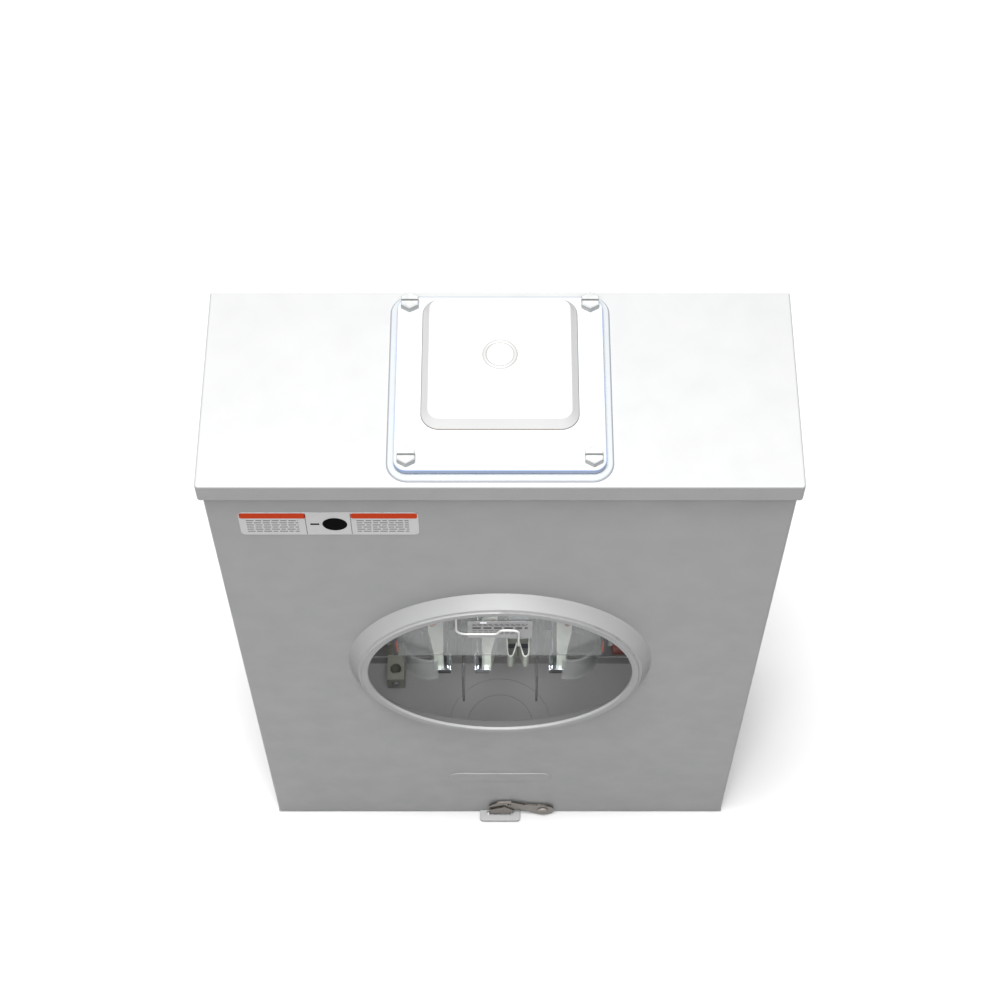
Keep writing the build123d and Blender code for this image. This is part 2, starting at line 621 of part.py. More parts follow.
for end_name, end in ENDS.items():
    jaw_z = METER_Z + end * JAW_RISE
    for phase, (blade_x, side) in PHASES.items():
        middle = block_x(blade_x, side)

        with BuildPart() as jaw:
            with BuildSketch(Plane.XZ.offset(-PEDESTAL_FRONT)):
                with Locations((blade_x + side * (JAW_OUTER_BACK - STRAP_INNER) / 2,
                                METER_Z + end * (BUS_END + STRAP_END) / 2)):
                    Rectangle(JAW_OUTER_BACK + STRAP_INNER, STRAP_END - BUS_END)
                with Locations(*SET_SCREW_PLACES):
                    Circle(SET_SCREW_R + SET_SCREW_GAP, mode=Mode.SUBTRACT)
            extrude(amount=STRAP_THICK)
            with BuildSketch(Plane.XY.offset(jaw_z - JAW_HALF)):
                with BuildLine():
                    Polyline(
                        (blade_x + side * BLADE_GAP / 2, STRAP_FRONT),
                        (blade_x + side * BLADE_GAP / 2, JAW_FRONT + ENTRY),
                        (blade_x + side * (BLADE_GAP / 2 + ENTRY), JAW_FRONT),
                        (blade_x + side * JAW_OUTER_FRONT, JAW_FRONT),
                        (blade_x + side * JAW_OUTER_BACK, JAW_BACK),
                        (blade_x + side * JAW_OUTER_BACK, STRAP_FRONT),
                        close=True,
                    )
                make_face()
            extrude(amount=2 * JAW_HALF)
        save(jaw, f"{end_name}_jaw_{phase}")

        with BuildPart() as spring:
            with BuildSketch(Plane.XY.offset(jaw_z - LEAF_HALF)):
                with BuildLine():
                    Polyline(
                        (blade_x - side * (STRAP_INNER + LEAF), STRAP_FRONT),
                        (blade_x - side * BLADE_GAP / 2, STRAP_FRONT),
                        (blade_x - side * BLADE_GAP / 2, LEAF_FRONT),
                        (blade_x - side * (BLADE_GAP / 2 + LEAF_FLARE), JAW_FRONT),
                        (blade_x - side * (BLADE_GAP / 2 + LEAF_FLARE + LEAF), JAW_FRONT),
                        (blade_x - side * (BLADE_GAP / 2 + LEAF), LEAF_FRONT),
                        (blade_x - side * (BLADE_GAP / 2 + LEAF), STRAP_FRONT - LEAF),
                        (blade_x - side * (STRAP_INNER + LEAF), STRAP_FRONT - LEAF),
                        close=True,
                    )
                make_face()
            extrude(amount=2 * LEAF_HALF)
            # shelf round the outer end of the jaw, with an upturned lip in front
            shelf_z = jaw_z + end * (JAW_HALF + SHELF_GAP)
            shelf_x = blade_x + side * SHELF_SHIFT
            with BuildSketch(Plane.XY.offset(shelf_z)):
                with Locations((shelf_x, (SHELF_BACK + SHELF_FRONT) / 2)):
                    Rectangle(SHELF_WIDTH, SHELF_BACK - SHELF_FRONT)
            extrude(amount=end * SHELF)
            with BuildSketch(Plane.XY.offset(shelf_z)):
                with Locations((shelf_x, SHELF_FRONT + LEAF / 2)):
                    Rectangle(SHELF_WIDTH, LEAF)
            extrude(amount=-end * LIP_RISE)
            with BuildSketch(Plane.XY.offset(jaw_z + end * LEAF_HALF)):
                with Locations((blade_x - side * (BLADE_GAP + LEAF) / 2, (SHELF_BACK + LEAF_FRONT) / 2)):
                    Rectangle(LEAF, SHELF_BACK - LEAF_FRONT)
            extrude(amount=end * (JAW_HALF - LEAF_HALF + SHELF_GAP))
        save(spring, f"{end_name}_spring_{phase}")

        with BuildPart() as lug:
            with BuildSketch(Plane.XY.offset(METER_Z + end * LUG_NEAR)):
                with Locations((middle, (LUG_BACK + PEDESTAL_FRONT) / 2)):
                    Rectangle(2 * BLOCK_HALF, LUG_BACK - PEDESTAL_FRONT)
                with Locations((middle, LUG_WIRE_Y)):
                    Circle(LUG_WIRE_R, mode=Mode.SUBTRACT)
            extrude(amount=end * (STRAP_END - LUG_NEAR))
            chamfer(lug.edges().filter_by(Axis.Z).group_by(Axis.Y)[-1], length=LUG_CHAMFER)
            with BuildSketch(Plane.XZ.offset(-LUG_WIRE_Y)):
                with Locations(*SET_SCREW_PLACES):
                    Circle(SET_SCREW_R + SET_SCREW_GAP)
            extrude(amount=LUG_WIRE_Y - PEDESTAL_FRONT, mode=Mode.SUBTRACT)
        save(lug, f"{end_name}_lug_{phase}")

with BuildPart() as jaw_screws:
    for end in ENDS.values():
        inner_face = METER_Z + end * (JAW_RISE - JAW_HALF)
        with BuildSketch(Plane.XY.offset(inner_face)):
            for blade_x, side in PHASES.values():
                with Locations((blade_x + side * JAW_SCREW_OFFSET, JAW_SCREW_Y)):
                    Circle(JAW_SCREW_R)
        extrude(amount=-end * JAW_SCREW_HEAD)
save(jaw_screws, "jaw_screws")

# ---------------------------------------------------------------- neutral and ground
NEUTRAL_JAW_Z = -30.0
NEUTRAL_JAW_HALF = 8.0
NEUTRAL_SHEET = 0.9
NEUTRAL_HALF = 7.0
NEUTRAL_BEND_R = 1.3
NEUTRAL_TAPER = 0.6
NEUTRAL_NOSE = 2.6
NEUTRAL_THROAT = 7.0          # depth of the inner legs from the back
NEUTRAL_TAB = (6.0, 4.4)
NEUTRAL_BACK = NEUTRAL_POST_FRONT - NEUTRAL_SHEET

with BuildPart() as neutral_jaw:
    with BuildSketch(Plane.XY.offset(NEUTRAL_JAW_Z - NEUTRAL_JAW_HALF)):
        for side in (-1, 1):
            with BuildLine():
                FilletPolyline(
                    (NEUTRAL_X, NEUTRAL_BACK),
                    (NEUTRAL_X + side * NEUTRAL_HALF, NEUTRAL_BACK),
                    (NEUTRAL_X + side * (NEUTRAL_HALF - NEUTRAL_TAPER), LEAF_FRONT),
                    (NEUTRAL_X + side * (NEUTRAL_HALF - NEUTRAL_NOSE), JAW_FRONT),
                    (NEUTRAL_X + side * NEUTRAL_BEND_R, NEUTRAL_BACK - NEUTRAL_THROAT),
                    radius=NEUTRAL_BEND_R,
                )
                offset(amount=NEUTRAL_SHEET, side=Side.RIGHT if side < 0 else Side.LEFT)
            make_face()
    extrude(amount=2 * NEUTRAL_JAW_HALF)
    # tab that the jumper is soldered to
    with BuildSketch(Plane.XZ.offset(-NEUTRAL_POST_FRONT)):
        with Locations((NEUTRAL_X, NEUTRAL_JAW_Z + NEUTRAL_JAW_HALF + NEUTRAL_TAB[1] / 2)):
            Rectangle(*NEUTRAL_TAB)
    extrude(amount=NEUTRAL_SHEET)
save(neutral_jaw, "neutral_jaw")

NEUTRAL_BAR = (64.0, 18.5, 22.0)
NEUTRAL_BAR_Z = 127.0
NEUTRAL_BAR_EDGE = 2.0
NEUTRAL_WIRES = (-18.0, 18.0)
NEUTRAL_WIRE_R = 6.5
NEUTRAL_BAR_FRONT = -SHEET - NEUTRAL_BAR[1]
NEUTRAL_WIRE_PLACES = [(x, -SHEET - NEUTRAL_BAR[1] / 2) for x in NEUTRAL_WIRES]
NEUTRAL_SCREW_PLACES = [(x, NEUTRAL_BAR_Z) for x in NEUTRAL_WIRES]
NEUTRAL_SCREW = 8.0
GROUND_LUG = (13.0, 18.0, 15.0)
GROUND_AT = (-79.0, -230.5)
GROUND_WIRE_R = 4.2
GROUND_TONGUE = (2.5, 19.0)   # thickness and height of the tongue on the back wall
GROUND_NECK = (3.0, 6.0)      # height and offset of the neck between tongue and body
GROUND_NECK_REACH = 6.0
GROUND_SCREW = (3.0, 5.0)     # depth inside the body and length of its screw
GROUND_FRONT = -SHEET - BOTTOM_FLANGE / 2 - GROUND_LUG[1]

with BuildPart() as neutral_bar:
    with BuildSketch(Plane.XY.offset(NEUTRAL_BAR_Z - NEUTRAL_BAR[2] / 2)):
        with Locations((0, -SHEET - NEUTRAL_BAR[1] / 2)):
            Rectangle(NEUTRAL_BAR[0], NEUTRAL_BAR[1])
        with Locations(*NEUTRAL_WIRE_PLACES):
            Circle(NEUTRAL_WIRE_R, mode=Mode.SUBTRACT)
    extrude(amount=NEUTRAL_BAR[2])
    fillet(neutral_bar.edges().filter_by(Axis.Z).group_by(Axis.Y)[0], radius=NEUTRAL_BAR_EDGE)
    with BuildSketch(Plane.XZ.offset(SHEET + NEUTRAL_BAR[1] / 2)):
        with Locations(*NEUTRAL_SCREW_PLACES):
            Circle(SET_SCREW_R + SET_SCREW_GAP)
    extrude(amount=NEUTRAL_BAR[1], mode=Mode.SUBTRACT)
save(neutral_bar, "neutral_bar")

with BuildPart() as ground_lug:
    with BuildSketch(Plane.XY.offset(GROUND_AT[1] - GROUND_LUG[2] / 2)):
        with Locations((GROUND_AT[0], GROUND_FRONT + GROUND_LUG[1] / 2)):
            Rectangle(GROUND_LUG[0], GROUND_LUG[1])
        with Locations((GROUND_AT[0], GROUND_FRONT + GROUND_LUG[1] / 2)):
            Circle(GROUND_WIRE_R, mode=Mode.SUBTRACT)
    extrude(amount=GROUND_LUG[2])
    # tongue up the back wall
    with BuildSketch(Plane.XZ.offset(SHEET)):
        with Locations((GROUND_AT[0], GROUND_AT[1] + GROUND_LUG[2])):
            Rectangle(GROUND_LUG[0], GROUND_TONGUE[1])
    extrude(amount=GROUND_TONGUE[0])
    with BuildSketch(Plane.XZ.offset(SHEET)):
        with Locations((GROUND_AT[0], GROUND_AT[1] + GROUND_NECK[1])):
            Rectangle(GROUND_LUG[0], GROUND_NECK[0])
    extrude(amount=GROUND_NECK_REACH)
    with BuildSketch(Plane.XZ.offset(-GROUND_FRONT - GROUND_LUG[1] / 2)):
        with Locations(GROUND_AT):
            Circle(SOCKET_R + SET_SCREW_GAP)
    extrude(amount=GROUND_LUG[1], mode=Mode.SUBTRACT)
save(ground_lug, "ground_lug")

with BuildPart() as lug_screws:
    with BuildSketch(Plane.XZ.offset(-SET_SCREW_TIP)):
        with Locations(*SET_SCREW_PLACES):
            Circle(SET_SCREW_R)
    extrude(amount=SET_SCREW_TIP - SET_SCREW_FACE)
    with BuildSketch(Plane.XZ.offset(-NEUTRAL_BAR_FRONT - NEUTRAL_SCREW)):
        with Locations(*NEUTRAL_SCREW_PLACES):
            Circle(SET_SCREW_R)
    extrude(amount=NEUTRAL_SCREW)
    with BuildSketch(Plane.XZ.offset(-SET_SCREW_FACE)):
        with Locations(*SET_SCREW_PLACES):
            RegularPolygon(SOCKET_R, 6)
    extrude(amount=-SOCKET_DEPTH, mode=Mode.SUBTRACT)
    with BuildSketch(Plane.XZ.offset(-NEUTRAL_BAR_FRONT)):
        with Locations(*NEUTRAL_SCREW_PLACES):
            RegularPolygon(SOCKET_R, 6)
    extrude(amount=-SOCKET_DEPTH, mode=Mode.SUBTRACT)
    with BuildSketch(Plane.XZ.offset(-GROUND_FRONT - GROUND_SCREW[0])):
        with Locations(GROUND_AT):
            Circle(SOCKET_R)
    extrude(amount=GROUND_SCREW[1])
save(lug_screws, "lug_screws")

# white lead from the neutral bar to the neutral jaw
JUMPER_R = 0.7
JUMPER_X = -27.6
JUMPER_FRONT = -108.5
JUMPER_BENDS = [20, 18, 6, 3, 3, 4, 8, 6]
JUMPER_ROUTE = [
    (JUMPER_X, NEUTRAL_BAR_FRONT, NEUTRAL_BAR_Z),
    (JUMPER_X, -62.0, NEUTRAL_BAR_Z),
    (JUMPER_X, JUMPER_FRONT, 100.0),
    (JUMPER_X, JUMPER_FRONT, 24.0),
    (-2.4, JUMPER_FRONT, 24.0),
    (1.0, JUMPER_FRONT, 29.0),
    (NEUTRAL_X, JUMPER_FRONT, 29.0),
    (NEUTRAL_X, JUMPER_FRONT, 6.0),
    (NEUTRAL_X, -94.0, -10.0),
    (NEUTRAL_X, NEUTRAL_BACK - JUMPER_R, NEUTRAL_JAW_Z + NEUTRAL_JAW_HALF),
]

with BuildPart() as neutral_jumper:
    with BuildLine() as jumper_line:
        FilletPolyline(*JUMPER_ROUTE, radius=JUMPER_BENDS)
    with BuildSketch(Plane(jumper_line.line @ 0, z_dir=jumper_line.line % 0)):
        Circle(JUMPER_R)
    sweep()
save(neutral_jumper, "neutral_jumper")

# ---------------------------------------------------------------- clear shields
CLEAR = 1.6
PLATE_INNER = 66.0            # side plates of the bypass
PLATE_THICK = 3.0
SHIELD_FRONT = -105.6
SHIELD_BOTTOM = -13.0
SHIELD_TOP = 38.0
SHIELD_BACK = -80.0
NOTCH = (15.0, 24.0)
GUARD_NEAR = 29.1             # meter axis to the inner rim of a jaw guard
GUARD_FAR = 56.1
GUARD_ARC = [(50.5, STRAP_FRONT), (63.5, -88.5), (41.0, -106.0)]
TROUGH_HALF = 25.5
TROUGH_TOP = -51.0
TROUGH_BOTTOM = -100.0
TROUGH_BACK = -41.0
TROUGH_CORNER = 12.0

with BuildPart() as bypass_shield:
    with BuildSketch(Plane.YZ.offset(-PLATE_INNER)):
        with BuildLine():
            Polyline(
                (SHIELD_FRONT, SHIELD_BOTTOM),
                (SHIELD_FRONT, SHIELD_TOP),
                (SHIELD_BACK, SHIELD_TOP),
                (SHIELD_BACK, SHIELD_TOP - CLEAR),
                (SHIELD_FRONT + CLEAR, SHIELD_TOP - CLEAR),
                (SHIELD_FRONT + CLEAR, SHIELD_BOTTOM),
                close=True,
            )
        make_face()
    extrude(amount=2 * PLATE_INNER)
    with BuildSketch(Plane.XZ.offset(-SHIELD_FRONT)):
        with Locations((NEUTRAL_X, SHIELD_BOTTOM + NOTCH[1] / 2)):
            Rectangle(*NOTCH)
    extrude(amount=-CLEAR, mode=Mode.SUBTRACT)
save(bypass_shield, "bypass_shield")

for end_name, end in ENDS.items():
    for side_name, side in (("left", -1), ("right", 1)):
        with BuildPart() as guard:
            with BuildSketch(Plane.XY.offset(METER_Z + end * GUARD_NEAR)):
                with BuildLine():
                    ThreePointArc(*[(side * x, y) for x, y in GUARD_ARC])
                    offset(amount=CLEAR, side=Side.RIGHT if side < 0 else Side.LEFT)
                make_face()
            extrude(amount=end * (GUARD_FAR - GUARD_NEAR))
        save(guard, f"clear_guard_{end_name}_{side_name}")

with BuildPart() as clear_trough:
    with BuildSketch(Plane.XY.offset(TROUGH_BOTTOM)):
        with BuildLine():
            Polyline(
                (-TROUGH_HALF, JAW_FRONT),
                (-TROUGH_HALF, TROUGH_BACK),
                (TROUGH_HALF, TROUGH_BACK),
                (TROUGH_HALF, JAW_FRONT),
            )
            offset(amount=CLEAR, side=Side.RIGHT)
        make_face()
    extrude(amount=TROUGH_TOP - TROUGH_BOTTOM)
    front_low_corners = clear_trough.edges().filter_by(Axis.X).group_by(Axis.Y)[0].group_by(Axis.Z)[0]
    fillet(front_low_corners, radius=TROUGH_CORNER)
save(clear_trough, "clear_trough")

NAMEPLATE_SIZE = (41.0, 23.0)
NAMEPLATE_Z = 25.0
NAMEPLATE_CORNER = 1.0

with BuildPart() as nameplate:
    with BuildSketch(Plane.XZ.offset(-SHIELD_FRONT)):
        with Locations((0, NAMEPLATE_Z)):
            RectangleRounded(*NAMEPLATE_SIZE, radius=NAMEPLATE_CORNER)
    extrude(amount=FILM_THICK)
save(nameplate, "nameplate")

# ---------------------------------------------------------------- bypass: plates, shaft, blades, lever
PLATE_HALF = 12.0
PLATE_STEP = 10.0             # foot of a side plate behind the shield
HUB_R = 9.0
ARM_THICK = 3.0
ARM_START = PLATE_INNER + PLATE_THICK + 1.0
GRIP_AT = (-98.0, -12.0)
GRIP_SIZE = (11.0, 13.0, 17.0)
GRIP_ROUND = 2.5
LEVER_OUTLINE = [             # tapered arm from the hub to the grip
    (SHAFT_Y + 2, METER_Z - HUB_R + 0.2),
    (GRIP_AT[0] + 3.0, GRIP_AT[1] - 3.4),
    (GRIP_AT[0] - 3.0, GRIP_AT[1] + 3.4),
    (SHAFT_Y - 5, METER_Z + HUB_R - 1.6),
]
BLADE_THICK = 3.0
BLADE_HALF = 4.5
SHAFT_AXIS_AT = (SHAFT_Y, METER_Z)

for side_name, side in (("left", -1), ("right", 1)):
    with BuildPart() as side_plate:
        with BuildSketch(Plane.YZ.offset(side * PLATE_INNER)):
            with BuildLine():
                Polyline(
                    (BRACKET_FRONT, METER_Z - PLATE_HALF),
                    (SHAFT_Y, METER_Z - PLATE_HALF),
                    (SHIELD_FRONT + PLATE_STEP, SHIELD_BOTTOM),
                    (SHIELD_FRONT, SHIELD_BOTTOM),
                    (SHIELD_FRONT, SHIELD_TOP),
                    (SHAFT_Y, SHIELD_TOP),
                    (BRACKET_FRONT, METER_Z + PLATE_HALF),
                    close=True,
                )
            make_face()
            with Locations(SHAFT_AXIS_AT):
                Circle(SHAFT_R + SHAFT_CLEARANCE, mode=Mode.SUBTRACT)
        extrude(amount=side * PLATE_THICK)
    save(side_plate, f"bypass_plate_{side_name}")

with BuildPart() as bypass_shaft:
    with BuildSketch(Plane.YZ.offset(-PLATE_INNER - PLATE_THICK)):
        with Locations(SHAFT_AXIS_AT):
            Circle(SHAFT_R)
    extrude(amount=PLATE_INNER + PLATE_THICK + ARM_START + ARM_THICK)
    for blade_x, side in PHASES.values():
        with BuildSketch(Plane.YZ.offset(block_x(blade_x, side) - BLADE_HALF)):
            with Locations(SHAFT_AXIS_AT):
                Rectangle(4 * SHAFT_R, BLADE_THICK)
        extrude(amount=2 * BLADE_HALF, mode=Mode.SUBTRACT)
save(bypass_shaft, "bypass_shaft")

for phase, (blade_x, side) in PHASES.items():
    with BuildPart() as blade:
        with BuildSketch(Plane.YZ.offset(block_x(blade_x, side) - BLADE_HALF)):
            with Locations(SHAFT_AXIS_AT):
                Rectangle(2 * BLADE_REACH, BLADE_THICK)
        extrude(amount=2 * BLADE_HALF)
    save(blade, f"bypass_blade_{phase}")

with BuildPart() as bypass_lever:
    with BuildSketch(Plane.YZ.offset(ARM_START)):
        with Locations(SHAFT_AXIS_AT):
            Circle(HUB_R)
        with BuildLine():
            Polyline(*LEVER_OUTLINE, close=True)
        make_face()
        with Locations(SHAFT_AXIS_AT):
            Circle(SHAFT_R, mode=Mode.SUBTRACT)
    extrude(amount=ARM_THICK)
save(bypass_lever, "bypass_lever")

with BuildPart() as lever_grip:
    with BuildSketch(Plane.YZ.offset(ARM_START + ARM_THICK)):
        with Locations(GRIP_AT):
            Ellipse(GRIP_SIZE[1] / 2, GRIP_SIZE[2] / 2)
    extrude(amount=GRIP_SIZE[0])
    fillet(lever_grip.faces().sort_by(Axis.X)[-1].edges(), radius=GRIP_ROUND)
save(lever_grip, "lever_grip")
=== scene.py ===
import math
import bmesh
import bpy
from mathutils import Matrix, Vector


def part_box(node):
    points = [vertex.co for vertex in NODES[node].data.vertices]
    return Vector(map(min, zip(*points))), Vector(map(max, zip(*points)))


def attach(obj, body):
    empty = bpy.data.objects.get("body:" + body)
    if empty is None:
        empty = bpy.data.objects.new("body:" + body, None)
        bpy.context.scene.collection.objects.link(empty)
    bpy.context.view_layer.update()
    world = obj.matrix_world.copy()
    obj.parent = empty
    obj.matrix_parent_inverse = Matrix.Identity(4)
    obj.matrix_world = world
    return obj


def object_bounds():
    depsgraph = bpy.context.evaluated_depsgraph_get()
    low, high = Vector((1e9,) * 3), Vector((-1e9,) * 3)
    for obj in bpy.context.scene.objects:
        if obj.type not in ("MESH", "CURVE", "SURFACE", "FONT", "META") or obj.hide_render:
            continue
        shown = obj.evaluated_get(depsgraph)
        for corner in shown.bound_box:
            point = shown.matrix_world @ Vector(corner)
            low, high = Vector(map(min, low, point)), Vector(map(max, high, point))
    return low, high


# Looks for a ringless meter socket enclosure. Units are metres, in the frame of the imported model:
# the back face is at y = 0, the front looks along -Y, and +Z is up.
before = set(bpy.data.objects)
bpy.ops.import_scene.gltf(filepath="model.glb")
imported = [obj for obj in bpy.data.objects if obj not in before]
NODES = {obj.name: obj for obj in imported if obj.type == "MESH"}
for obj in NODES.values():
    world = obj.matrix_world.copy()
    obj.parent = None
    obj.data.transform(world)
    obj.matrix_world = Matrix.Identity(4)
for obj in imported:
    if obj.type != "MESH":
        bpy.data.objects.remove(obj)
cad_box = [list(corner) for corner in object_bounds()]
MM = 0.001
PHASES = ("left", "centre", "right")
ENDS = ("line", "load")
SIDES = ("left", "right")


# ---------------------------------------------------------------- camera, light, floor
CAMERA_AT = (0.0, -0.6948, 1.2094)
CAMERA_TILT = 30.0        # degrees up from straight down
LENS = 75.0
SENSOR = 36.0
NEAR_CLIP = 0.01
WORLD_STRENGTH = 0.12
LIGHT_TARGET = (0, -0.1, 0)
FLOOR_GAP = 0.6 * MM      # keeps the floor off the enclosure's underside
FLOOR_HALF = 6.0
FLOOR_GREY = 0.355
FLOOR_ROUGHNESS = 0.9


def make_camera():
    """A camera straight in front, looking down by 60 degrees."""
    data = bpy.data.cameras.new("camera")
    data.lens = LENS
    data.sensor_width = SENSOR
    data.clip_start = NEAR_CLIP
    camera = bpy.data.objects.new("camera", data)
    camera.location = CAMERA_AT
    camera.rotation_euler = (math.radians(CAMERA_TILT), 0, 0)
    bpy.context.scene.collection.objects.link(camera)
    bpy.context.scene.camera = camera


def softbox(name, place, target, size, power):
    """A rectangular area light at a place, aimed at a target."""
    data = bpy.data.lights.new(name, "AREA")
    data.shape = "RECTANGLE"
    data.size, data.size_y = size
    data.energy = power
    light = bpy.data.objects.new(name, data)
    light.location = place
    aim = Vector(target) - Vector(place)
    light.rotation_euler = aim.to_track_quat("-Z", "Y").to_euler()
    bpy.context.scene.collection.objects.link(light)


def make_studio():
    """A softbox overhead, one behind the camera and a faint one under the hood."""
    scene = bpy.context.scene
    scene.view_settings.view_transform = "Standard"
    world = bpy.data.worlds.new("studio")
    scene.world = world
    world.use_nodes = True
    background = world.node_tree.nodes["Background"]
    background.inputs["Color"].default_value = (1.0, 1.0, 1.0, 1)
    background.inputs["Strength"].default_value = WORLD_STRENGTH
    softbox("top_light", place=(-0.16, -0.28, 2.9), target=LIGHT_TARGET, size=(1.4, 1.4), power=294)
    softbox("camera_fill", place=(0, -1.02, 1.78), target=LIGHT_TARGET, size=(1.0, 0.45), power=44)
    softbox("inner_fill", place=(0, -0.075, 0.205), target=(0, -0.075, -0.2), size=(0.28, 0.08),
            power=0.9)


def make_floor():
    """A plain square floor just under the enclosure."""
    mesh = bpy.data.meshes.new("floor")
    corners = [(-FLOOR_HALF, -FLOOR_HALF, 0), (FLOOR_HALF, -FLOOR_HALF, 0),
               (FLOOR_HALF, FLOOR_HALF, 0), (-FLOOR_HALF, FLOOR_HALF, 0)]
    mesh.from_pydata(corners, [], [(0, 1, 2, 3)])
    floor = bpy.data.objects.new("floor", mesh)
    floor.location.z = cad_box[0][2] - FLOOR_GAP
    bpy.context.scene.collection.objects.link(floor)
    material = bpy.data.materials.new("floor")
    material.use_nodes = True
    principled = material.node_tree.nodes["Principled BSDF"]
    principled.inputs["Base Color"].default_value = (FLOOR_GREY, FLOOR_GREY, FLOOR_GREY, 1)
    principled.inputs["Roughness"].default_value = FLOOR_ROUGHNESS
    floor.data.materials.append(material)


# ---------------------------------------------------------------- materials
NOISE_LOW, NOISE_HIGH = 0.3, 0.7    # the values that a noise mostly keeps between
EDGE_SAMPLES = 4
LOOKS_BACK = 0.2                    # least y of a normal that looks towards the wall


class Shader:
    """A Principled material with helpers for procedural colour, roughness and bump."""

    def __init__(self, name, metallic=0.0, roughness=0.5, ior=1.5):
        self.material = bpy.data.materials.new(name)
        self.material.use_nodes = True
        self.tree = self.material.node_tree
        self.main = self.tree.nodes["Principled BSDF"]
        self.main.inputs["Metallic"].default_value = metallic
        self.main.inputs["Roughness"].default_value = roughness
        self.main.inputs["IOR"].default_value = ior
        self.place = self.tree.nodes.new("ShaderNodeTexCoord").outputs["Object"]
        self.normal = None

    def node(self, kind, **settings):
        """A new node; a setting goes to the input of that name, or else to the property."""
        made = self.tree.nodes.new(kind)
        for key, value in settings.items():
            if key in made.inputs:
                made.inputs[key].default_value = value
            else:
                setattr(made, key, value)
        return made

    def link(self, source, target):
        self.tree.links.new(source, target)

    def stretched(self, scale):
        """Object coordinates, scaled by a different amount along each axis."""
        mapping = self.node("ShaderNodeMapping")
        mapping.inputs["Scale"].default_value = scale
        self.link(self.place, mapping.inputs["Vector"])
        return mapping.outputs["Vector"]

    def noise(self, scale, detail=3.0, place=None):
        """Noise over the object's own coordinates, or over the vector given."""
        noise = self.node("ShaderNodeTexNoise", Scale=scale, Detail=detail)
        self.link(place or self.place, noise.inputs["Vector"])
        return noise.outputs["Fac"]

    def cells(self, scale):
        """Random cells, each of one flat value."""
        cells = self.node("ShaderNodeTexVoronoi", Scale=scale)
        self.link(self.place, cells.inputs["Vector"])
        return cells.outputs["Color"]

    def ramp(self, factor, stops):
        """A colour blended between two stops of (position, colour)."""
        ramp = self.node("ShaderNodeValToRGB")
        for element, (position, colour) in zip(ramp.color_ramp.elements, stops):
            element.position = position
            element.color = (*colour, 1)
        self.link(factor, ramp.inputs["Fac"])
        return ramp.outputs["Color"]

    def remap(self, value, low, high):
        """A noise value spread over low to high."""
        spread = self.node("ShaderNodeMapRange")
        spread.inputs["From Min"].default_value = NOISE_LOW
        spread.inputs["From Max"].default_value = NOISE_HIGH
        spread.inputs["To Min"].default_value = low
        spread.inputs["To Max"].default_value = high
        self.link(value, spread.inputs["Value"])
        return spread.outputs["Result"]

    def part_of(self, vector, axis):
        """One component of a vector."""
        split = self.node("ShaderNodeSeparateXYZ")
        self.link(vector, split.inputs["Vector"])
        return split.outputs[axis]

    def within(self, axis, low, high):
        """1 between two places along an axis, 0 elsewhere."""
        band = self.node("ShaderNodeMath", operation="COMPARE")
        self.link(self.part_of(self.place, axis), band.inputs[0])
        band.inputs[1].default_value = (low + high) / 2
        band.inputs[2].default_value = (high - low) / 2
        return band.outputs["Value"]

    def both(self, first, second):
        """1 where both masks are 1."""
        product = self.node("ShaderNodeMath", operation="MULTIPLY")
        self.link(first, product.inputs[0])
        self.link(second, product.inputs[1])
        return product.outputs["Value"]

    def facing_back(self):
        """1 on faces that look towards the wall, 0 elsewhere."""
        facing = self.node("ShaderNodeTexCoord").outputs["Normal"]
        step = self.node("ShaderNodeMath", operation="GREATER_THAN")
        self.link(self.part_of(facing, "Y"), step.inputs[0])
        step.inputs[1].default_value = LOOKS_BACK
        return step.outputs["Value"]

    def mix(self, factor, first, second):
        """From the first colour to the second as the factor goes from 0 to 1."""
        mix = self.node("ShaderNodeMix", data_type="RGBA")
        self.link(factor, mix.inputs["Factor"])
        for socket, value in zip((mix.inputs[6], mix.inputs[7]), (first, second)):
            if isinstance(value, tuple):
                socket.default_value = (*value, 1)
            else:
                self.link(value, socket)
        return mix.outputs[2]

    def soft_edges(self, radius):
        """Rounds the edges in the shading alone."""
        bevel = self.node("ShaderNodeBevel", samples=EDGE_SAMPLES)
        bevel.inputs["Radius"].default_value = radius
        self.normal = bevel.outputs["Normal"]

    def colour(self, source):
        self.link(source, self.main.inputs["Base Color"])

    def roughness(self, source):
        self.link(source, self.main.inputs["Roughness"])

    def bump(self, height, depth, strength):
        """Adds a bump over the ones already there."""
        bump = self.node("ShaderNodeBump", Strength=strength, Distance=depth)
        self.link(height, bump.inputs["Height"])
        if self.normal:
            self.link(self.normal, bump.inputs["Normal"])
        self.normal = bump.outputs["Normal"]
        self.link(self.normal, self.main.inputs["Normal"])


def shade(colour, share):
    """A colour made darker or lighter."""
    return tuple(channel * share for channel in colour)


def sprayed(name, colour, roughness=(0.42, 0.52)):
    """A paint shader with fine orange peel and slight patchiness, and its colour."""
    paint = Shader(name)
    paint.soft_edges(0.4 * MM)
    patches = paint.noise(14.0, 4.0)
    coat = paint.ramp(patches, [(0.3, shade(colour, 0.988)), (0.7, shade(colour, 1.01))])
    paint.roughness(paint.remap(paint.noise(60.0), *roughness))
    paint.bump(paint.noise(850.0, 2.0), 0.03 * MM, 0.5)
    paint.bump(paint.noise(150.0, 2.0), 0.04 * MM, 0.2)
    return paint, coat


